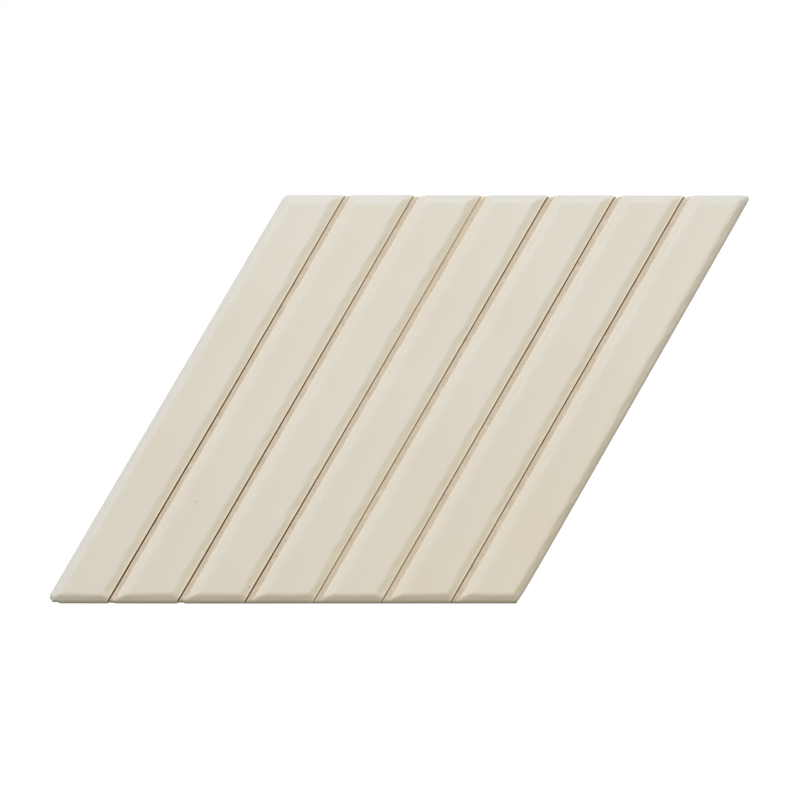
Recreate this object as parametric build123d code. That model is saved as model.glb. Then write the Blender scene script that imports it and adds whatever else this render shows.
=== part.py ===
from build123d import *
import os
from math import cos, radians, sin, tan

os.makedirs("parts", exist_ok=True)

# Ribbed wall tile, one pressed and fired piece. Millimetres.
# Frame: the tile lies face up on its flat back (z = 0). +X runs along its two
# level edges, +Y up the slanted ribs, +Z out of the glazed face. The origin is
# the middle of the tile's box, on the back.

# --- outline: a 60 degree rhombus, a hair longer along its slanted edges -------
LEVEL = 152.0  # length of the two level edges, to the sharp corners
SLANT = 153.1  # length of the two slanted edges, to the sharp corners
LEAN = 60.0  # acute angle of the rhombus
R_ACUTE_LOW = 1.8  # corner roundings in plan
R_OBTUSE_LOW = 0.45
R_ACUTE_HIGH = 1.2
R_OBTUSE_HIGH = 2.6

# --- thickness ---------------------------------------------------------------
TOP_Z = 8.5  # crown of the ribs
STEP_Z = 7.65  # where the steep foot of a rib ends and its bevel starts
FLOOR_Z = 7.0  # floor of the grooves
SIDE_RIM = 7.2  # where the outer bevels and the walls would meet: along the slanted edges,
LOW_RIM = 7.2  # along the lower level edge,
HIGH_RIM = 7.5  # and along the upper one
BACK_ARRIS = 0.4  # small broken edge round the back

# --- ribs and grooves --------------------------------------------------------
# Each groove is the gap between the foot of one rib and the foot of the next,
# measured square to the ribs from the tile's left edge.
GROOVE_LEFT = (17.29, 36.67, 55.65, 74.55, 93.47, 112.86)
GROOVE_WIDTH = 1.55
STEP_DRAFT = 10.0  # lean of the steep foot from upright
BEVEL_SLOPE = 18.0  # slope of the bevel beside a groove, from level
SIDE_SLOPE = 27.0  # slope of the outer bevel along the slanted edges
LOW_SLOPE = 29.0  # slope of the outer bevel along the lower level edge
HIGH_SLOPE = 22.0  # and along the upper one
R_CROWN = 4.0  # rounding from the bevels onto the crown
R_STEP = 0.15  # rounding from the steep foot onto the bevel
R_FLOOR = 0.1  # rounding in the corners of the groove floor
RIM = 0.4  # reach of the small facet between the outer wall and the bevel

# --- worked out --------------------------------------------------------------
c, s = cos(radians(LEAN)), sin(radians(LEAN))
WIDTH = LEVEL * s  # square distance between the slanted edges
DEPTH = SLANT * s  # between the level edges
STEP_IN = (STEP_Z - FLOOR_Z) * tan(radians(STEP_DRAFT))
BEVEL_IN = (TOP_Z - STEP_Z) / tan(radians(BEVEL_SLOPE))


def outer(slope, rim):
    """Outer bevel: the facet's foot, its top (how far in, how high), and where the bevel reaches the crown."""
    a = radians(slope)
    return rim - RIM, RIM * cos(a), rim + RIM * sin(a), (TOP_Z - rim) / tan(a)


# sharp corners, with the middle of the rhombus at (0, 0)
half_x, half_y = (LEVEL + SLANT * c) / 2, DEPTH / 2
LOW_LEFT = (-half_x, -half_y)
LOW_RIGHT = (-half_x + LEVEL, -half_y)
HIGH_RIGHT = (half_x, half_y)
HIGH_LEFT = (half_x - LEVEL, half_y)

# The rounded acute corners end a little short of the sharp ones, each by its
# own amount, so the middle of the box is shifted.
k = 1 / tan(radians(LEAN / 2)) - 1
shift_x = (R_ACUTE_LOW - R_ACUTE_HIGH) * k / 2


def solid_from(points, radii, plane, length):
    """A closed section with rounded corners, drawn on a plane and extruded both ways."""
    line = FilletPolyline(points, radius=radii, close=True)
    return extrude(plane * make_face(line), amount=length / 2, both=True)


# --- section square to the ribs: the foot, bevel and crown of each rib --------
rim_low, rim_in, rim_high, reach = outer(SIDE_SLOPE, SIDE_RIM)
points = [(BACK_ARRIS, 0), (WIDTH - BACK_ARRIS, 0), (WIDTH, BACK_ARRIS)]
radii = [0, 0, 0]
points += [(WIDTH, rim_low), (WIDTH - rim_in, rim_high), (WIDTH - reach, TOP_Z)]
radii += [0, 0, 0]
for left in reversed(GROOVE_LEFT):
    right = left + GROOVE_WIDTH
    points += [
        (right + STEP_IN + BEVEL_IN, TOP_Z),
        (right + STEP_IN, STEP_Z),
        (right, FLOOR_Z),
        (left, FLOOR_Z),
        (left - STEP_IN, STEP_Z),
        (left - STEP_IN - BEVEL_IN, TOP_Z),
    ]
    radii += [0, R_STEP, R_FLOOR, R_FLOOR, R_STEP, 0]
points += [(reach, TOP_Z), (rim_in, rim_high), (0, rim_low), (0, BACK_ARRIS)]
radii += [0, 0, 0, 0]

across = Plane(
    origin=(*LOW_LEFT, 0),  # on the left edge
    x_dir=(s, -c, 0),  # square to the ribs, towards the right edge
    z_dir=(-c, -s, 0),  # along the ribs
)
ribbed = solid_from(points, radii, across, 6 * SLANT)

# --- section square to the level edges: their bevel and crown -----------------
low_foot, low_in, low_high, low_reach = outer(LOW_SLOPE, LOW_RIM)
high_foot, high_in, high_high, high_reach = outer(HIGH_SLOPE, HIGH_RIM)
points = [
    (-half_y + BACK_ARRIS, 0),
    (half_y - BACK_ARRIS, 0),
    (half_y, BACK_ARRIS),
    (half_y, high_foot),
    (half_y - high_in, high_high),
    (half_y - high_reach, TOP_Z),
    (-half_y + low_reach, TOP_Z),
    (-half_y + low_in, low_high),
    (-half_y, low_foot),
    (-half_y, BACK_ARRIS),
]
along = Plane(origin=(0, 0, 0), x_dir=(0, 1, 0), z_dir=(1, 0, 0))
ends = solid_from(points, [0] * len(points), along, 6 * SLANT)

# --- outline in plan ----------------------------------------------------------
outline = FilletPolyline(
    [LOW_LEFT, LOW_RIGHT, HIGH_RIGHT, HIGH_LEFT],
    radius=[R_ACUTE_LOW, R_OBTUSE_LOW, R_ACUTE_HIGH, R_OBTUSE_HIGH],
    close=True,
)
plan = extrude(make_face(outline), amount=TOP_Z + 1)

# --- the tile is what the three have in common --------------------------------
tile = plan & ribbed & ends

# every rib's crown is a flat panel that rolls over onto the bevels all round
crown_edges = [
    edge
    for edge in tile.edges()
    if all(abs(corner.Z - TOP_Z) < 1e-4 for corner in edge.vertices())
]
tile = fillet(crown_edges, R_CROWN)
tile = Pos(-shift_x, 0, 0) * tile
tile.label = "tile"

box = tile.bounding_box()
print("box", box.min, box.max)
print("volume", tile.volume, "solids", len(tile.solids()), "valid", tile.is_valid)

export_step(tile, "parts/tile.step")
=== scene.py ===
import math

import bpy
import numpy as np
from mathutils import Matrix, Vector, noise


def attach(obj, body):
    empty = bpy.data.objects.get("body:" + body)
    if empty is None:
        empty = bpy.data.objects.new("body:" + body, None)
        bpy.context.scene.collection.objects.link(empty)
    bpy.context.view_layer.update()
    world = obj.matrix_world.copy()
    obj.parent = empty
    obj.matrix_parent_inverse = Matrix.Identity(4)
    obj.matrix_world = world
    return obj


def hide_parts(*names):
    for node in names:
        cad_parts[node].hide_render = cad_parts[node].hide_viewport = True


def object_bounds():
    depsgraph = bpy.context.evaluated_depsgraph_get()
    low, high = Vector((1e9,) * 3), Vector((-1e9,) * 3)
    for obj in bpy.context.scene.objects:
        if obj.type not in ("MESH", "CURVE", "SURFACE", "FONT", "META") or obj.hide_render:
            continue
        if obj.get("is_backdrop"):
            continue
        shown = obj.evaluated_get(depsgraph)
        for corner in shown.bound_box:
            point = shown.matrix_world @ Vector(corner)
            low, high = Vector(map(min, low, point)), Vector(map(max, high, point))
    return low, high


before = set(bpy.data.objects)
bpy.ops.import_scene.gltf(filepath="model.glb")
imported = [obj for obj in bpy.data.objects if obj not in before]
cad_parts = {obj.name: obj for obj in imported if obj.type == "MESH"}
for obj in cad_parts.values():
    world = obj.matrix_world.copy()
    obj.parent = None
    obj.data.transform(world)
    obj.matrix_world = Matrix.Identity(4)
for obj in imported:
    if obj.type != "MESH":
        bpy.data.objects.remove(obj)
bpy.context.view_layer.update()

# ---------------------------------------------------------------------------
# The tile's plan and section, in millimetres, as in the CAD
# ---------------------------------------------------------------------------
LEVEL, SLANT = 152.0, 153.1  # lengths of the level and the slanted edges
C60, S60 = 0.5, math.sqrt(3) / 2
WIDE, DEEP = LEVEL * S60, SLANT * S60  # square distances between opposite edges
HALF_X, HALF_Y = (LEVEL + SLANT * C60) / 2, DEEP / 2
R_ACUTE_LOW, R_OBTUSE_LOW, R_ACUTE_HIGH, R_OBTUSE_HIGH = 1.8, 0.45, 1.2, 2.6
DISH = 0.06
SHIFT_X = (R_ACUTE_LOW - R_ACUTE_HIGH) * (1 / math.tan(math.radians(30)) - 1) / 2
TOP_Z, STEP_Z, FLOOR_Z = 8.5, 7.65, 7.0
GROOVE_LEFT = (17.21, 36.59, 55.57, 74.47, 93.39, 112.78)
# each groove's lines wander a little: at nine heights down the tile, how far its
# dark foot stands from the straight line, how wide the groove is, and how wide the painted shadow line at the foot is
HEIGHTS = [0.0735 + 0.107 * k for k in range(9)]
FOOT_LINE = (
    (-0.114, -0.041, 0.010, 0.043, 0.062, 0.067, 0.054, 0.048, 0.023),
    (-0.193, -0.122, -0.053, -0.009, 0.023, 0.046, 0.072, 0.081, 0.096),
    (-0.084, -0.048, -0.035, -0.034, -0.014, -0.021, -0.037, -0.070, -0.124),
    (-0.123, -0.094, -0.082, -0.075, -0.059, -0.043, -0.031, -0.004, 0.028),
    (-0.179, -0.150, -0.118, -0.100, -0.070, -0.036, 0.002, 0.041, 0.059),
    (-0.143, -0.118, -0.103, -0.101, -0.102, -0.077, -0.053, -0.014, 0.023),
)
FOOT_GAP = (
    (1.541, 1.511, 1.505, 1.497, 1.499, 1.523, 1.529, 1.537, 1.567),
    (1.623, 1.589, 1.556, 1.543, 1.544, 1.536, 1.532, 1.559, 1.605),
    (1.644, 1.604, 1.587, 1.588, 1.591, 1.607, 1.611, 1.624, 1.671),
    (1.705, 1.667, 1.657, 1.668, 1.680, 1.679, 1.681, 1.657, 1.620),
    (1.711, 1.671, 1.659, 1.660, 1.671, 1.667, 1.669, 1.709, 1.740),
    (1.699, 1.643, 1.601, 1.612, 1.611, 1.615, 1.633, 1.663, 1.679),
)
FOOT_DARK = (
    (0.120, 0.150, 0.171, 0.210, 0.237, 0.276, 0.273, 0.296, 0.327),
    (0.092, 0.107, 0.141, 0.181, 0.214, 0.239, 0.263, 0.283, 0.288),
    (0.023, 0.053, 0.079, 0.118, 0.132, 0.171, 0.222, 0.268, 0.299),
    (0.198, 0.206, 0.190, 0.149, 0.123, 0.113, 0.110, 0.103, 0.105),
    (0.207, 0.232, 0.240, 0.218, 0.174, 0.151, 0.139, 0.127, 0.120),
    (0.219, 0.247, 0.258, 0.233, 0.224, 0.207, 0.181, 0.169, 0.187),
)
STEP_DRAFT, BEVEL_SLOPE, SIDE_SLOPE, LOW_SLOPE, HIGH_SLOPE = (math.radians(a) for a in (10, 18, 27, 29, 22))
R_CROWN_LEFT, R_CROWN_RIGHT = 6.0, 1.4
R_STEP, R_FLOOR = 0.12, 0.08
SIDE_RIM, LOW_RIM, HIGH_RIM = 7.2, 7.2, 7.5  # where the outer bevels would meet the walls
STEP_IN = (STEP_Z - FLOOR_Z) * math.tan(STEP_DRAFT)
FULL = TOP_Z - FLOOR_Z


def rounded(points, radii, step=0.04):
    """Heights along a section: a polyline in (distance, height) with its corners rounded, as two rising arrays."""
    out = [points[0]]
    for (p0, p1, p2), r in zip(zip(points, points[1:], points[2:]), radii):
        p0, p1, p2 = map(np.array, (p0, p1, p2))
        a, b = (p0 - p1) / np.linalg.norm(p0 - p1), (p2 - p1) / np.linalg.norm(p2 - p1)
        half = math.acos(max(-1, min(1, float(a @ b)))) / 2
        t = r / math.tan(half)
        mid = p1 + (a + b) / np.linalg.norm(a + b) * r / math.sin(half)
        s, e = p1 + a * t - mid, p1 + b * t - mid
        a0, a1 = math.atan2(s[1], s[0]), math.atan2(e[1], e[0])
        turn = (a1 - a0 + math.pi) % (2 * math.pi) - math.pi
        n = max(4, int(abs(turn) * r / step))
        out += [tuple(mid + r * np.array([math.cos(a0 + turn * k / n), math.sin(a0 + turn * k / n)])) for k in range(n + 1)]
    out.append(points[-1])
    d, z = np.array(out).T
    keep = np.concatenate([[True], np.diff(np.maximum.accumulate(d)) > 1e-9])
    return d[keep], z[keep]


bevel = (TOP_Z - STEP_Z) / math.tan(BEVEL_SLOPE)


def groove_section(r_crown):
    """Up from the floor at a rib's foot, over the steep step and the bevel, onto the crown."""
    return rounded(
        [(-3, FLOOR_Z), (0, FLOOR_Z), (STEP_IN, STEP_Z), (STEP_IN + bevel, TOP_Z), (12, TOP_Z)],
        [R_FLOOR, R_STEP, r_crown],
    )


LEFT_SECTION, RIGHT_SECTION = groove_section(R_CROWN_LEFT), groove_section(R_CROWN_RIGHT)
RIM_LOW = 6.4  # top of the plain wall


def rim_section(rim, slope, r_rim, r_crown):
    """In from the tile's own edge: the rolled rim, the outer bevel and the crown."""
    return rounded([(0, 5), (1e-6, rim), ((TOP_Z - rim) / math.tan(slope), TOP_Z), (12, TOP_Z)], [r_rim, r_crown])


RIM_LEFT, RIM_RIGHT = rim_section(SIDE_RIM, SIDE_SLOPE, 0.8, 3.6), rim_section(SIDE_RIM, SIDE_SLOPE, 0.9, 3.0)
RIM_END_LOW = rim_section(LOW_RIM, LOW_SLOPE, 1.2, 2.6)
RIM_SOFT, RIM_CRISP = rim_section(HIGH_RIM, HIGH_SLOPE, 1.0, 5.0), rim_section(HIGH_RIM, HIGH_SLOPE, 1.8, 2.6)


def depth_groove(d, section):
    """How deep the surface lies under the crown, at a distance in from a rib's foot."""
    return TOP_Z - np.interp(d, *section)


def depth_rim(d, section):
    z = np.interp(d, *section)
    return TOP_Z - np.where(d <= 0, RIM_LOW, np.maximum(z, RIM_LOW))


# ---------------------------------------------------------------------------
# Noise that is the same each run
# ---------------------------------------------------------------------------
def wander(x, y, size, seed):
    """Smooth noise from -1 to 1 over arrays of millimetre places."""
    return np.array([noise.noise((float(i) / size + 17.3 * seed, float(j) / size - 9.1 * seed, 3.7 * seed)) for i, j in zip(np.ravel(x), np.ravel(y))]).reshape(np.shape(x))


# ---------------------------------------------------------------------------
# The lattice: lines along the ribs, and lines along the level edges
# ---------------------------------------------------------------------------
SIDE_STEPS = (0, 0.035, 0.07, 0.1, 0.125, 0.16, 0.22, 0.32, 0.5, 0.75, 1.05, 1.35, 1.65, 1.95, 2.2, 2.45, 2.7, 2.95, 3.2, 3.5, 3.9)
FLOOR_STEPS = (0.03, 0.07, 0.11, 0.16, 0.22, 0.32, 0.48, 0.64, 0.8, 0.92)
RIM_STEPS = (0, 0.02, 0.06, 0.13, 0.22, 0.34, 0.5, 0.7, 0.95, 1.25, 1.55, 1.85, 2.15, 2.45, 2.75, 3.1, 3.5, 4.0)


def across_lines():
    """Each line as (rib or None, fraction or offset): its square distance from the left edge at a row is worked out from the grooves' lines there."""
    lines = []
    n = len(GROOVE_LEFT)
    for rib in range(n + 1):
        left = RIM_STEPS if rib == 0 else SIDE_STEPS
        right = RIM_STEPS if rib == n else SIDE_STEPS
        lines += [("left", rib, d) for d in left]
        lines += [("crown", rib, (k + 1) / 12) for k in range(11)]
        lines += [("right", rib, d) for d in reversed(right)]
        if rib < n:
            lines += [("floor", rib, f) for f in FLOOR_STEPS]
    return lines


def feet(rib, f):
    """A rib's two feet at a fraction f of the way up the tile."""
    n = len(GROOVE_LEFT)
    line = lambda g: GROOVE_LEFT[g] + float(np.interp(1 - f, HEIGHTS, FOOT_LINE[g]))
    if rib == 0:
        low = 0.0
    else:
        g, y = rib - 1, f * DEEP
        ragged = 0.10 + 0.14 * noise.noise((y / 1.6, g * 9.3, 1.7)) + 0.08 * noise.noise((y / 5.0, g * 5.1, 4.4))
        low = line(g) + float(np.interp(1 - f, HEIGHTS, FOOT_GAP[g])) + ragged
    high = WIDE if rib == n else line(rib)
    return low, high


end_steps = RIM_STEPS
inner = np.linspace(4.0, DEEP - 4.0, 150)[1:-1]
rows = np.concatenate([end_steps, inner, DEEP - np.array(end_steps)[::-1]])
lines = across_lines()
P = np.zeros((len(rows), len(lines)))
LOW = np.zeros_like(P)
HIGH = np.zeros_like(P)
RIB = np.zeros((len(lines),), int)
for j, y in enumerate(rows):
    f = y / DEEP
    for i, (kind, rib, k) in enumerate(lines):
        lo, hi = feet(rib, f)
        if kind == "left":
            p = lo + k
        elif kind == "right":
            p = hi - k
        elif kind == "crown":
            a = lo + (RIM_STEPS if rib == 0 else SIDE_STEPS)[-1]
            b = hi - (RIM_STEPS if rib == len(GROOVE_LEFT) else SIDE_STEPS)[-1]
            p = a + (b - a) * k
        else:
            p = hi + (feet(rib + 1, f)[0] - hi) * k
        P[j, i], LOW[j, i], HIGH[j, i] = p, lo, hi
        RIB[i] = rib if kind != "floor" else -1 - rib
Y = np.repeat(rows[:, None], len(lines), axis=1)
T = Y / S60  # how far along the rib
FLOOR = RIB[None, :] < 0
LAST = len(GROOVE_LEFT)

# ---------------------------------------------------------------------------
# Heights
# ---------------------------------------------------------------------------
seed_l = np.where(FLOOR, 0, RIB[None, :]) * 2 + 1
wob_l = wander(T, seed_l * 40.0 + 0 * T, 5.0, 1) * 0.30 + wander(T, seed_l * 40.0 + 0 * T, 14.0, 2) * 0.22
wob_r = wander(T, seed_l * 40.0 + 20 + 0 * T, 5.0, 3) * 0.55 + wander(T, seed_l * 40.0 + 20 + 0 * T, 14.0, 4) * 0.26
wob_r = np.where((RIB == LAST)[None, :], 0.8, 1.0) * wob_r
wob_e = wander(P, 5.0 + 0 * P, 6.0, 5) * 0.22
wob_f = wander(P, 15.0 + 0 * P, 6.0, 6) * 0.26


def eased(d, start, size):
    """0 near a rib's foot, 1 from where its bevel has begun, so that the foot's line stays straight."""
    k = np.clip((d - start) / size, 0, 1)
    return k * k * (3 - 2 * k)


dl, dr = P - LOW, HIGH - P
first, last = (RIB == 0)[None, :], (RIB == LAST)[None, :]
dl2, dr2 = dl + wob_l * eased(dl, 0.4, 1.6), dr + wob_r * eased(dr, 0.4, 1.6)
side_l = np.where(first, depth_rim(dl2, RIM_LEFT), depth_groove(dl2, LEFT_SECTION))
side_r = np.where(last, depth_rim(dr2, RIM_RIGHT), depth_groove(dr2, RIGHT_SECTION))
side_l = np.where(FLOOR, FULL, side_l)
side_r = np.where(FLOOR, 0.0, side_r)
end_l = depth_rim(Y + wob_e * eased(Y, 0.4, 1.6), RIM_END_LOW)
up_in = DEEP - Y + wob_f * eased(DEEP - Y, 0.4, 1.6)
crisp = np.clip((P - 32) / 12, 0, 1)
end_h = depth_rim(up_in, RIM_SOFT) * (1 - crisp) + depth_rim(up_in, RIM_CRISP) * crisp
POWER = 3.5
depth = (side_l**POWER + side_r**POWER + end_l**POWER + end_h**POWER) ** (1 / POWER)

# the glaze's soft unevenness over the crowns, and the floor's grain
X0 = -HALF_X + P / S60 + (Y / S60) * C60
face = np.clip(1 - depth / 0.25, 0, 1)
# each crown is dished by a hair between its rolled edges
across = np.clip((dl - 3.6) / np.maximum(HIGH - LOW - 7.2, 1), 0, 1)
dish = np.where(FLOOR, 0, 4 * across * (1 - across))
depth = depth + DISH * dish * face
depth = depth + face * (0.012 + 0.012 * wander(X0, Y, 11.0, 7)) + 0.0015 * (1 + wander(X0, Y, 2.6, 8)) * np.clip(1 - depth / 1.2, 0, 1)
depth = depth + np.where(FLOOR, 0.03 * (1 + wander(X0, Y, 0.9, 9)), 0)
Z = TOP_Z - np.maximum(depth - depth.min(), 0)

# ---------------------------------------------------------------------------
# Places in plan: sharp rhombus, then the worn groove mouths and round corners
# ---------------------------------------------------------------------------
PX = -HALF_X + P / S60 + (Y / S60) * C60
PY = -HALF_Y + Y


# worn mouths of the grooves: (square distance from the groove's foot, how deep)
MOUTH_HIGH = (
    ((-0.45, 0), (-0.1, 0.28), (0.9, 0.27), (1.4, 0.20), (1.75, 0.12), (2.1, 0.03), (2.3, 0)),
    ((-0.45, 0), (0, 0.39), (0.3, 0.52), (1.1, 0.58), (1.5, 0.54), (2.0, 0.49), (2.5, 0.33), (3.3, 0.24), (3.6, 0.03), (3.8, 0)),
    ((-0.5, 0), (-0.1, 0.31), (0.9, 0.33), (1.4, 0.29), (1.7, 0.23), (2.0, 0.06), (2.2, 0)),
    ((-0.6, 0), (-0.25, 0.36), (0, 0.49), (0.6, 0.52), (1.15, 0.62), (1.42, 0.40), (1.7, 0.29), (2.26, 0.13), (2.6, 0)),
    ((-0.8, 0), (-0.45, 0.30), (-0.2, 0.39), (0.1, 0.60), (0.9, 0.58), (1.2, 0.52), (1.5, 0.39), (1.76, 0.28), (2.05, 0.10), (2.3, 0)),
    ((-0.6, 0), (-0.28, 0.38), (0.1, 0.48), (0.3, 0.58), (1.1, 0.56), (1.4, 0.39), (1.7, 0.26), (2.2, 0.19), (2.8, 0.10), (3.4, 0)),
)
MOUTH_LOW = (
    ((-0.2, 0), (0.05, 0.18), (0.6, 0.25), (0.9, 0.25), (1.45, 0.21), (1.75, 0.07), (1.95, 0)),
    ((-0.35, 0), (-0.15, 0.2), (0.15, 0.26), (0.7, 0.29), (1.0, 0.35), (1.3, 0.32), (1.55, 0.26), (1.8, 0.11), (2.1, 0.08), (2.4, 0)),
)


def inset(p, high):
    """How far the upper or lower edge stands back at a square distance p from the left edge."""
    out = np.zeros_like(p)
    for g, mouth in enumerate(MOUTH_HIGH if high else MOUTH_LOW):
        foot = feet(g, 1.0 if high else 0.0)[1]
        where, deep = zip(*mouth)
        out = out + np.interp(p - foot, where, deep)
    if high:
        return 0.84 * out + 0.03 + 0.03 * np.clip(1 - p / 40, 0, 1) + 0.04 * np.exp(-(((p - 104) / 8) ** 2))
    # the lower edge runs in a little towards the acute corner
    return out + 0.10 * np.clip(1 - p / 45, 0, 1)


CORNERS = (
    ((-HALF_X, -HALF_Y), (1, 0), (C60, S60), R_ACUTE_LOW),
    ((-HALF_X + LEVEL, -HALF_Y), (-1, 0), (C60, S60), R_OBTUSE_LOW),
    ((HALF_X, HALF_Y), (-1, 0), (-C60, -S60), R_ACUTE_HIGH),
    ((HALF_X - LEVEL, HALF_Y), (1, 0), (-C60, -S60), R_OBTUSE_HIGH),
)


def round_corners(x, y):
    x, y = x.copy(), y.copy()
    for k, e1, e2, r in CORNERS:
        k, e1, e2 = map(np.array, (k, e1, e2))
        half = math.acos(float(e1 @ e2)) / 2
        mid = k + (e1 + e2) / np.linalg.norm(e1 + e2) * r / math.sin(half)
        t = r / math.tan(half)
        n1, n2 = (k + e1 * t - mid) / r, (k + e2 * t - mid) / r
        qx, qy = x - mid[0], y - mid[1]
        rho = np.hypot(qx, qy) + 1e-12
        c1, c2 = (qx * n1[0] + qy * n1[1]) / rho, (qx * n2[0] + qy * n2[1]) / rho
        to = (k - mid) / np.linalg.norm(k - mid)
        ck = (qx * to[0] + qy * to[1]) / rho
        inside = ck >= math.cos(math.pi / 2 - half) - 1e-12
        scale = np.where(inside, np.maximum(c1, c2), 1.0)
        x, y = mid[0] + qx * scale, mid[1] + qy * scale
    return x, y


near_low, near_high = np.exp(-(Y / 1.1) ** 2), np.exp(-((DEEP - Y) / 1.1) ** 2)
PX, PY = round_corners(PX, PY)
PY = PY + inset(P, False) * near_low - inset(P, True) * near_high
# the acute corner's tip is nibbled off from below
nibble = -HALF_Y + 0.56 * np.clip((-HALF_X + 4.4 - PX) / 0.9, 0, 1) + 0.06 * noise.noise((0.3, 2.2, 8.1))
PY = np.where(PX < -HALF_X + 5, np.maximum(PY, nibble), PY)
# the slanted edges draw in a hair towards their ends
draw_left = 0.10 * np.exp(-(DEEP - Y) / 5) + 0.10 * np.clip(1 - Y / 28, 0, 1)
draw_right = 0.45 * np.exp(-Y / 3.9) + 0.08 * np.clip(1 - (DEEP - Y) / 30, 0, 1)
PX = PX + (draw_left * np.exp(-((P / 3) ** 2)) - draw_right * np.exp(-(((WIDE - P) / 3) ** 2))) / S60

# ---------------------------------------------------------------------------
# Masks for the finish
# ---------------------------------------------------------------------------
low_side = np.where(FLOOR, 0, np.minimum(np.where(first, 9, dl), np.where(last, 9, dr)))
m_floor = np.where(FLOOR, 1.0, np.clip(1 - low_side / 0.1, 0, 1))
outer = np.maximum.reduce([np.where(first, side_l, 0), np.where(last, side_r, 0), end_l, end_h])
inner_depth = np.maximum(np.where(first, 0, side_l), np.where(last, 0, side_r))
m_outer = np.clip(outer / (outer + inner_depth + 1e-3), 0, 1)
m_slope = np.clip((TOP_Z - Z) / 0.75, 0, 1) * (1 - m_floor) * (1 - 0.3 * m_outer)
# painted reflection: along the left and the upper edge the glaze is tinted a shade cooler, standing in for the lamps'
# sheen on these lit bevels
m_painted_sheen = m_outer * np.clip((TOP_Z - Z) / 0.25, 0, 1) * np.maximum(np.where(first, np.clip((5 - dl) / 2, 0, 1), 0), np.clip((5 - (DEEP - Y)) / 2, 0, 1))
painted_foot_shadow, painted_floor_light, painted_glint, painted_rim_shade = (np.zeros_like(P) for _ in range(4))
for i, (kind, rib, k) in enumerate(lines):
    # painted shadow: the dark line along each groove's left foot, on the step and on the floor beside it, stands in for
    # the shadow the step casts
    if kind == "floor" or (kind == "right" and rib != LAST):
        dark = np.interp(1 - rows / DEEP, HEIGHTS, FOOT_DARK[rib])
        full = np.clip(dark / 0.16, 0, 1)
    if kind == "floor":
        reach = np.maximum(dark, 0.16) - 0.03  # how far the dark line runs out on the floor
        off = P[:, i] - HIGH[:, i]
        painted_foot_shadow[:, i] = np.clip((reach - off) / 0.08 + 0.5, 0, 1) * full
        # painted light: the floor is marked paler next to the left foot, offsetting the shade the step casts there
        painted_floor_light[:, i] = np.clip(1 - (off - 0.50) / 0.55, 0, 1)
    elif kind == "right" and rib != LAST:
        painted_foot_shadow[:, i] = {0: 1.0, 0.035: 1.0, 0.07: 0.9, 0.1: 0.5}.get(k, 0.0) * full
        # painted highlight: a paler line along the arris above the dark foot, in place of a glint
        painted_glint[:, i] = {0.125: 0.7, 0.16: 1.0, 0.22: 1.0, 0.32: 1.0, 0.5: 0.9, 0.75: 0.35}.get(k, 0.0) * full
    elif kind == "right":
        # painted shade: the right-hand rim, on the side away from the lamps
        painted_rim_shade[:, i] = {0.06: 0.5, 0.13: 0.8, 0.22: 1.0, 0.34: 1.0, 0.5: 1.0, 0.7: 0.6, 0.95: 0.2}.get(k, 0.0)
    elif kind == "left" and rib != 0:
        # painted highlight: a faint paler band where each lit left bevel begins, in place of a glint
        painted_glint[:, i] = {0.1: 0.2, 0.125: 0.3, 0.16: 0.35, 0.22: 0.35, 0.32: 0.32, 0.5: 0.28, 0.75: 0.2, 1.05: 0.1}.get(k, 0.0)

# ---------------------------------------------------------------------------
# The mesh: face, walls, arris and back
# ---------------------------------------------------------------------------
nr, nc = P.shape
verts = [np.column_stack([PX.ravel() - SHIFT_X, PY.ravel(), Z.ravel()])]
attrs = {
    "floor": [m_floor.ravel()],
    "slope": [m_slope.ravel()],
    "foot": [painted_foot_shadow.ravel()],
    "painted_shading": [painted_floor_light.ravel()],
    "painted_glint": [painted_glint.ravel()],
    "painted_sheen": [m_painted_sheen.ravel()],
    "painted_rim_shade": [painted_rim_shade.ravel()],
}
index = np.arange(nr * nc).reshape(nr, nc)
quads = [np.column_stack([index[:-1, :-1].ravel(), index[:-1, 1:].ravel(), index[1:, 1:].ravel(), index[1:, :-1].ravel()])]

# the outline, anticlockwise from the low left corner
loop = np.concatenate([index[0, :-1], index[:-1, -1], index[-1, :0:-1], index[:0:-1, 0]])
lx0 = (-HALF_X + P / S60 + (Y / S60) * C60).ravel()[loop]
ly0 = (-HALF_Y + Y).ravel()[loop]
plain_x, plain_y = round_corners(lx0, ly0)
top_x, top_y, top_z = PX.ravel()[loop], PY.ravel()[loop], Z.ravel()[loop]
# unit normals, outward
nx, ny = np.roll(plain_y, -1) - np.roll(plain_y, 1), -(np.roll(plain_x, -1) - np.roll(plain_x, 1))
size = np.hypot(nx, ny) + 1e-12
nx, ny = nx / size, ny / size
WALL_ROWS = (6.1, 5.3, 4.5, 3.7, 2.9, 2.0, 1.1, 0.4)
along = np.concatenate([[0], np.cumsum(np.hypot(np.diff(plain_x), np.diff(plain_y)))])
previous, count = loop, nr * nc
n = len(loop)
for row, z in enumerate(WALL_ROWS + (0.12, 0.0)):
    x, y = top_x, top_y
    back = 0.0
    if z == 0.12:
        back = 0.12
    elif z == 0.0:
        back = 0.4
    rough = 0.02 * (1 + wander(along, z * 3.0 + 0 * along, 2.2, 11)) * (1 if 0.4 < z < 6 else 0)
    x, y = x - nx * (back + rough), y - ny * (back + rough)
    zz = np.minimum(np.full(n, z), top_z - 0.05 * (row + 1))
    verts.append(np.column_stack([x - SHIFT_X, y, zz]))
    attrs["floor"].append(np.zeros(n))
    attrs["slope"].append(np.ones(n))
    attrs["foot"].append(np.zeros(n))
    attrs["painted_glint"].append(np.zeros(n))
    attrs["painted_sheen"].append(np.zeros(n))
    attrs["painted_rim_shade"].append(np.zeros(n))
    # painted shade: walls that face right, away from the lamps, are marked to be darkened
    attrs["painted_shading"].append(np.clip((nx - 0.5) / 0.3, 0, 1))
    now = np.arange(count, count + n)
    nxt, nxt2 = np.roll(previous, -1), np.roll(now, -1)
    quads.append(np.column_stack([previous, now, nxt2, nxt]))
    previous, count = now, count + n
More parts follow.
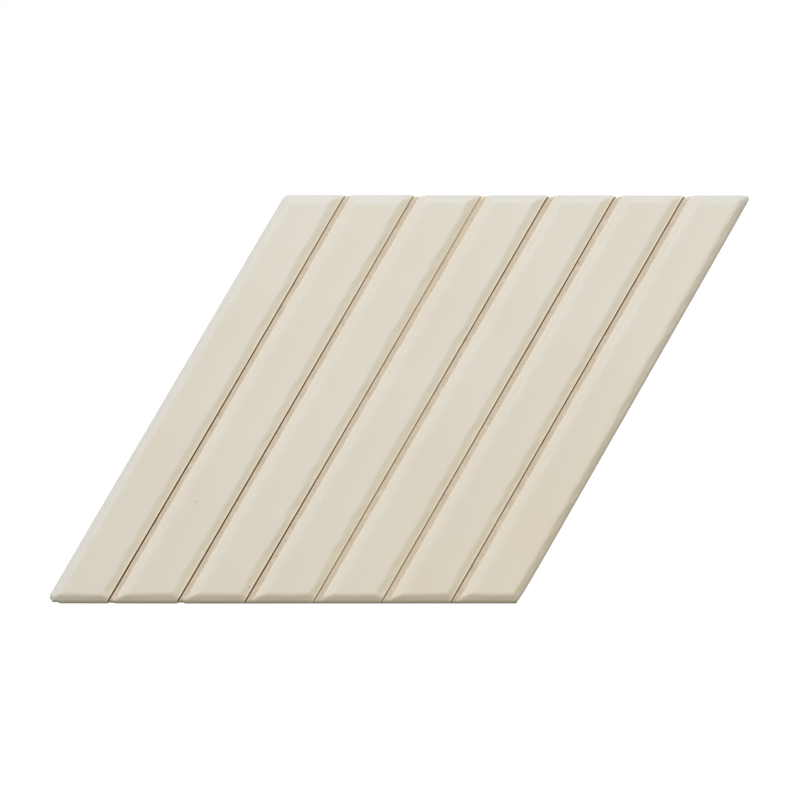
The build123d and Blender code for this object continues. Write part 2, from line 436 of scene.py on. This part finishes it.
# the flat back: rings drawn in towards the middle
foot_xy = verts[-1][:, :2]
middle = foot_xy.mean(axis=0)
for share in (0.995, 0.8, 0.5, 0.0):
    m = n if share else 1
    verts.append(np.column_stack([middle + (foot_xy[:m] - middle) * share, np.zeros(m)]))
    for name, parts in attrs.items():
        parts.append(np.full(m, 1.0 if name == "slope" else 0.0))
    if share:
        now = np.arange(count, count + n)
        quads.append(np.column_stack([previous, now, np.roll(now, -1), np.roll(previous, -1)]))
        previous, count = now, count + n
co = np.vstack(verts) * 0.001
faces = [tuple(map(int, q)) for q in np.vstack(quads)]
faces += [(int(a), count, int(b)) for a, b in zip(previous, np.roll(previous, -1))]
mesh = bpy.data.meshes.new("tile_face")
mesh.from_pydata([tuple(v) for v in co], [], faces)
mesh.validate()
for name, parts in attrs.items():
    a = mesh.attributes.new(name, "FLOAT", "POINT")
    a.data.foreach_set("value", np.concatenate(parts).astype(np.float32))
smooth = np.ones(len(mesh.polygons), bool)
smooth[-4 * n:] = False
mesh.polygons.foreach_set("use_smooth", smooth)
finish = np.full(len(mesh.polygons), 2)
dull = np.array([kind == "floor" or (kind == "right" and rib != LAST and k <= 0.125) for kind, rib, k in lines])
dull |= np.array([kind == "left" and rib != 0 and k < 0.1 for kind, rib, k in lines])
finish[: (nr - 1) * (nc - 1)] = np.tile((dull[:-1] | dull[1:]).astype(int), nr - 1)
mesh.polygons.foreach_set("material_index", finish)
mesh.update()
tile = bpy.data.objects.new("glazed_tile", mesh)
bpy.context.scene.collection.objects.link(tile)
print("triangles", sum(len(p.vertices) - 2 for p in mesh.polygons), "lines", nc, "rows", nr)


# ---------------------------------------------------------------------------
# The finish
# ---------------------------------------------------------------------------
def srgb(r, g, b):
    out = []
    for v in (r, g, b):
        v /= 255
        out.append(v / 12.92 if v <= 0.04045 else ((v + 0.055) / 1.055) ** 2.4)
    return (*out, 1.0)


class Nodes:
    def __init__(self, material):
        material.use_nodes = True
        self.tree = material.node_tree
        self.tree.nodes.clear()

    def node(self, kind, **props):
        n = self.tree.nodes.new(kind)
        for k, v in props.items():
            setattr(n, k, v)
        return n

    def put(self, socket, value):
        if isinstance(value, bpy.types.NodeSocket):
            self.tree.links.new(value, socket)
        else:
            socket.default_value = value

    def math(self, op, a, b=0.0, c=None, clamp=False):
        n = self.node("ShaderNodeMath", operation=op, use_clamp=clamp)
        self.put(n.inputs[0], a)
        self.put(n.inputs[1], b)
        if c is not None:
            self.put(n.inputs[2], c)
        return n.outputs[0]

    def ramp(self, value, lo, hi, out_lo=0.0, out_hi=1.0):
        n = self.node("ShaderNodeMapRange", interpolation_type="SMOOTHSTEP")
        self.put(n.inputs["Value"], value)
        n.inputs["From Min"].default_value = lo
        n.inputs["From Max"].default_value = hi
        n.inputs["To Min"].default_value = out_lo
        n.inputs["To Max"].default_value = out_hi
        return n.outputs[0]

    def mix(self, factor, a, b, blend="MIX"):
        n = self.node("ShaderNodeMix", data_type="RGBA", blend_type=blend)
        self.put(n.inputs[0], factor)
        self.put(n.inputs[6], a)
        self.put(n.inputs[7], b)
        return n.outputs[2]

    def mixf(self, factor, a, b):
        n = self.node("ShaderNodeMix", data_type="FLOAT")
        self.put(n.inputs[0], factor)
        self.put(n.inputs[2], a)
        self.put(n.inputs[3], b)
        return n.outputs[0]

    def noise(self, vector, scale, detail=2.0, rough=0.5, distortion=0.0):
        n = self.node("ShaderNodeTexNoise", noise_dimensions="3D")
        self.put(n.inputs["Vector"], vector)
        n.inputs["Scale"].default_value = scale
        n.inputs["Detail"].default_value = detail
        n.inputs["Roughness"].default_value = rough
        n.inputs["Distortion"].default_value = distortion
        return n.outputs[0]

    def attribute(self, name):
        return self.node("ShaderNodeAttribute", attribute_name=name).outputs["Fac"]


CREAM = (0.70, 0.640, 0.540, 1)
CREAM_2 = (0.69, 0.622, 0.515, 1)
THIN = (0.67, 0.580, 0.445, 1)
SAND = (0.68, 0.570, 0.445, 1)
SAND_2 = (0.60, 0.490, 0.365, 1)
# the paler sand below is painted light next to the groove feet
PAINTED_LIGHT_SAND = (0.805, 0.680, 0.520, 1)
POOL = (0.80, 0.705, 0.570, 1)
# the multiplier below is painted shade for the right-hand rim
PAINTED_RIM_SHADE = (0.885, 0.915, 0.985, 1)
WARM = (1.0, 0.994, 0.955, 1)
# the cooler tint below is a painted reflection for the lit left and upper bevels
PAINTED_SHEEN = (0.680, 0.632, 0.550, 1)
# the paler colour below is a painted highlight along the arrises
PAINTED_GLINT = (0.835, 0.735, 0.585, 1)
# near-black brown used for painted shade: the shadow line at the groove feet and the right-facing walls
SHADOW_BROWN = (0.085, 0.033, 0.000, 1)
BISQUE = (0.49, 0.430, 0.340, 1)
BISQUE_2 = (0.42, 0.365, 0.280, 1)
SKIRT = (0.50, 0.450, 0.365, 1)
SPECK = (0.36, 0.30, 0.21, 1)
# small specks fired into the glaze: place, radius and strength
SPECKS = (
    ((-66.05, -34.0), 0.27, 0.7),
    ((-40.28, -51.45), 0.26, 1.0),
    ((-48.92, -61.59), 0.27, 0.95),
    ((-3.26, 0.38), 0.26, 0.35),
    ((88.41, 25.84), 0.28, 0.45),
    ((42.21, -14.9), 0.40, 0.15),
)


def face_finish(name, dull):
    """The glazed face; dull is the same colours where the glaze is thin and matte, in the grooves."""
    material = bpy.data.materials.new(name)
    N = Nodes(material)
    where = N.node("ShaderNodeTexCoord").outputs["Object"]
    floor_m, slope_m, foot_shadow_m = N.attribute("floor"), N.attribute("slope"), N.attribute("foot")
    cloud = N.noise(where, 28.0, 2.0, 0.5)
    grain = N.noise(where, 2600.0, 4.0, 0.7)
    base = N.mix(N.ramp(cloud, 0.35, 0.68), CREAM, CREAM_2)
    base = N.mix(N.math("MULTIPLY", slope_m, 0.75, clamp=True), base, THIN)
    # a touch warmer towards the lower right
    place = N.node("ShaderNodeSeparateXYZ")
    N.put(place.inputs[0], where)
    base = N.mix(N.ramp(N.math("SUBTRACT", N.math("MULTIPLY", place.outputs["X"], 0.5), place.outputs["Y"]), 0.0, 0.08), base, WARM, blend="MULTIPLY")
    # painted reflection: a cooler tint on the lit left and upper bevels, in place of the lamps' sheen
    base = N.mix(N.attribute("painted_sheen"), base, PAINTED_SHEEN)
    # painted shade: the right-hand rim, facing away from the lamps, is darkened and greyed
    base = N.mix(N.attribute("painted_rim_shade"), base, PAINTED_RIM_SHADE, blend="MULTIPLY")
    # painted highlight: a paler line along the arris above each dark foot, and a fainter one where the ribs' lit left
    # bevels begin, standing in for the glint of the lamps there
    base = N.mix(N.attribute("painted_glint"), base, PAINTED_GLINT)
    sand = N.mix(N.ramp(grain, 0.42, 0.62), SAND_2, SAND)
    # painted light: the floor is paler next to each groove's dark foot, offsetting the step's shade
    sand = N.mix(N.attribute("painted_shading"), sand, PAINTED_LIGHT_SAND)
    # glaze pooled here and there along the floor
    sand = N.mix(N.ramp(N.noise(where, 330.0, 2.0, 0.6), 0.52, 0.64, 0.0, 0.30), sand, POOL)
    sand = N.mix(N.ramp(N.noise(where, 260.0, 3.0, 0.6), 0.36, 0.48, 0.45, 0.0), sand, SAND_2)
    base = N.mix(floor_m, base, sand)
    flat = N.node("ShaderNodeVectorMath", operation="MULTIPLY")
    N.put(flat.inputs[0], where)
    flat.inputs[1].default_value = (1, 1, 0)
    for (x, y), radius, strength in SPECKS:
        far = N.node("ShaderNodeVectorMath", operation="DISTANCE")
        N.put(far.inputs[0], flat.outputs[0])
        far.inputs[1].default_value = (x * 0.001, y * 0.001, 0)
        base = N.mix(N.ramp(far.outputs["Value"], radius * 0.0005, radius * 0.0013, strength, 0.0), base, SPECK)
    # painted shadow: the near-black line at each groove's left foot
    base = N.mix(foot_shadow_m, base, SHADOW_BROWN)
    shader = N.node("ShaderNodeBsdfPrincipled")
    N.put(shader.inputs["Base Color"], base)
    bump = N.node("ShaderNodeBump")
    if dull:
        shader.inputs["Roughness"].default_value = 0.85
        shader.inputs["Specular IOR Level"].default_value = 0.0
        bump.inputs["Strength"].default_value = 0.5
        bump.inputs["Distance"].default_value = 0.0002
        N.put(bump.inputs["Height"], grain)
    else:
        N.put(shader.inputs["Roughness"], N.math("ADD", 0.275, N.math("MULTIPLY", slope_m, 0.05)))
        shader.inputs["Specular IOR Level"].default_value = 0.5
        shader.inputs["IOR"].default_value = 1.5
        bump.inputs["Strength"].default_value = 0.02
        bump.inputs["Distance"].default_value = 0.0002
        N.put(bump.inputs["Height"], N.noise(where, 300.0, 2.0, 0.5))
    N.put(shader.inputs["Normal"], bump.outputs[0])
    out = N.node("ShaderNodeOutputMaterial")
    N.put(out.inputs["Surface"], shader.outputs[0])
    return material


mesh.materials.append(face_finish("cream_glaze", False))
mesh.materials.append(face_finish("groove_glaze", True))

# the walls and the back: fired clay, with a thin ragged skirt of glaze above
clay = bpy.data.materials.new("fired_clay")
N = Nodes(clay)
where = N.node("ShaderNodeTexCoord").outputs["Object"]
height = N.node("ShaderNodeSeparateXYZ")
N.put(height.inputs[0], where)
edge = N.math("ADD", height.outputs["Z"], N.math("MULTIPLY", N.math("SUBTRACT", N.noise(where, 160.0, 3.0, 0.6), 0.5), 0.0028))
grain = N.noise(where, 2600.0, 4.0, 0.7)
body = N.mix(N.ramp(grain, 0.35, 0.7), BISQUE, BISQUE_2)
body = N.mix(N.ramp(N.noise(where, 120.0, 3.0, 0.6), 0.35, 0.7), body, BISQUE)
base = N.mix(N.ramp(edge, 0.0030, 0.0046), body, SKIRT)
# painted shade: the walls facing right, away from the lamps, are darkened towards brown
base = N.mix(N.math("MULTIPLY", N.attribute("painted_shading"), 0.5), base, SHADOW_BROWN)
side = N.node("ShaderNodeBsdfPrincipled")
N.put(side.inputs["Base Color"], base)
side.inputs["Roughness"].default_value = 0.85
side.inputs["Specular IOR Level"].default_value = 0.08
pit = N.node("ShaderNodeBump")
pit.inputs["Strength"].default_value = 0.5
pit.inputs["Distance"].default_value = 0.0002
N.put(pit.inputs["Height"], grain)
N.put(side.inputs["Normal"], pit.outputs[0])
out = N.node("ShaderNodeOutputMaterial")
N.put(out.inputs["Surface"], side.outputs[0])
mesh.materials.append(clay)

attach(tile, "root")
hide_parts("tile")

# ---------------------------------------------------------------------------
# Floor, light and camera
# ---------------------------------------------------------------------------
scene = bpy.context.scene
scene.view_settings.view_transform = "Standard"
scene.view_settings.look = "None"

pale = bpy.data.materials.new("pale_floor")
F = Nodes(pale)
fs = F.node("ShaderNodeBsdfPrincipled")
# white to look at, greyer for the light that it throws back at the tile's walls
seen = F.node("ShaderNodeLightPath").outputs["Is Camera Ray"]
F.put(fs.inputs["Base Color"], F.mix(seen, (0.60, 0.60, 0.60, 1), (0.93, 0.93, 0.93, 1)))
fs.inputs["Roughness"].default_value = 1.0
fs.inputs["Specular IOR Level"].default_value = 0.0
fo = F.node("ShaderNodeOutputMaterial")
F.put(fo.inputs["Surface"], fs.outputs[0])
fm = bpy.data.meshes.new("floor")
ring = [(6 * math.cos(a), 6 * math.sin(a), -0.00005) for a in np.linspace(0, 2 * math.pi, 65)[:-1]]
fm.from_pydata(ring, [], [tuple(range(64))])
fm.materials.append(pale)
floor = bpy.data.objects.new("floor", fm)
scene.collection.objects.link(floor)
floor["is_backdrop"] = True

world = bpy.data.worlds.new("studio")
scene.world = world
W = Nodes(world)
AMBIENT, MIRRORED, BACKDROP = 0.07, 0.45, 1.0  # as a fill light, as the glaze mirrors it, as seen
rays = W.node("ShaderNodeLightPath")


def sky(strength):
    n = W.node("ShaderNodeBackground")
    n.inputs["Color"].default_value = (1.0, 1.0, 1.0, 1)
    n.inputs["Strength"].default_value = strength
    return n.outputs[0]


def either(which, no, yes):
    n = W.node("ShaderNodeMixShader")
    W.put(n.inputs[0], rays.outputs[which])
    W.put(n.inputs[1], no)
    W.put(n.inputs[2], yes)
    return n.outputs[0]


wo = W.node("ShaderNodeOutputWorld")
W.put(wo.inputs["Surface"], either("Is Camera Ray", either("Is Diffuse Ray", sky(MIRRORED), sky(AMBIENT)), sky(BACKDROP)))

on_tile = bpy.data.collections.new("lit_tile")
on_tile.objects.link(tile)
on_floor = bpy.data.collections.new("lit_floor")
on_floor.objects.link(floor)

# soft boxes round the tile: (degrees from overhead, degrees from +Y towards -X, power by colour)
BOXES = (
    (0, 0, (1.21, 0.76, 0.00)),
    (20, 0, (6.38, 6.94, 7.90)),
    (20, 240, (4.63, 4.00, 2.78)),
    (20, 300, (0.71, 0.91, 0.95)),
    (36, 0, (2.34, 3.34, 4.63)),
    (36, 45, (4.47, 4.48, 4.96)),
    (36, 90, (2.30, 2.23, 2.11)),
    (36, 225, (1.74, 1.14, 0.00)),
    (36, 270, (4.48, 4.12, 3.34)),
    (55, 0, (11.75, 12.85, 14.29)),
    (55, 45, (15.95, 16.78, 17.96)),
    (55, 90, (3.05, 3.21, 3.43)),
    (55, 270, (5.51, 5.49, 5.11)),
    (55, 315, (0.00, 0.53, 1.10)),
)
for k, (off, turn, power) in enumerate(BOXES):
    a, b = math.radians(off), math.radians(turn)
    aim = Vector((-math.sin(a) * math.sin(b), math.sin(a) * math.cos(b), math.cos(a)))
    data = bpy.data.lights.new(f"box_{k}", "AREA")
    data.shape = "DISK"
    data.size = 1.1
    data.energy = max(power)
    data.color = [c / max(power) for c in power]
    lamp = bpy.data.objects.new(f"box_{k}", data)
    scene.collection.objects.link(lamp)
    lamp.location = aim * 2.2 + Vector((0, 0, 0.008))
    lamp.rotation_euler = aim.to_track_quat("Z", "Y").to_euler()
    lamp.light_linking.receiver_collection = on_tile
    lamp.visible_glossy = off < 50  # the low boxes are too broad and near to be mirrored whole

# an even light for the floor alone
FLOOR_LIGHT = 3.156
data = bpy.data.lights.new("floor_light", "SUN")
data.energy = FLOOR_LIGHT
data.angle = math.radians(20)
even = bpy.data.objects.new("floor_light", data)
scene.collection.objects.link(even)
even.location = (0, 0, 2)
even.light_linking.receiver_collection = on_floor
even.light_linking.blocker_collection = on_floor

cam_data = bpy.data.cameras.new("camera")
cam = bpy.data.objects.new("camera", cam_data)
scene.collection.objects.link(cam)
scene.camera = cam
cam_data.sensor_width = 36.0
TILT, ROLL, YAW, DISTANCE, AIM, FOCAL = 0.1258, 0.00005, 0.01168, 1.45, (-0.0005125, -0.001030, 0.008), 4490.0
cam_data.lens = FOCAL / 800 * 36.0
look = Vector((math.sin(YAW), math.sin(TILT), -1.0)).normalized()
right = (Vector((1, 0, 0)) - look * look.x).normalized()
up = right.cross(look)
right2 = right * math.cos(ROLL) + up * math.sin(ROLL)
up2 = up * math.cos(ROLL) - right * math.sin(ROLL)
cam.matrix_world = Matrix.Translation(Vector(AIM) - look * DISTANCE) @ Matrix((right2, up2, -look)).transposed().to_4x4()
cam_data.clip_start, cam_data.clip_end = 0.05, 50

lo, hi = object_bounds()
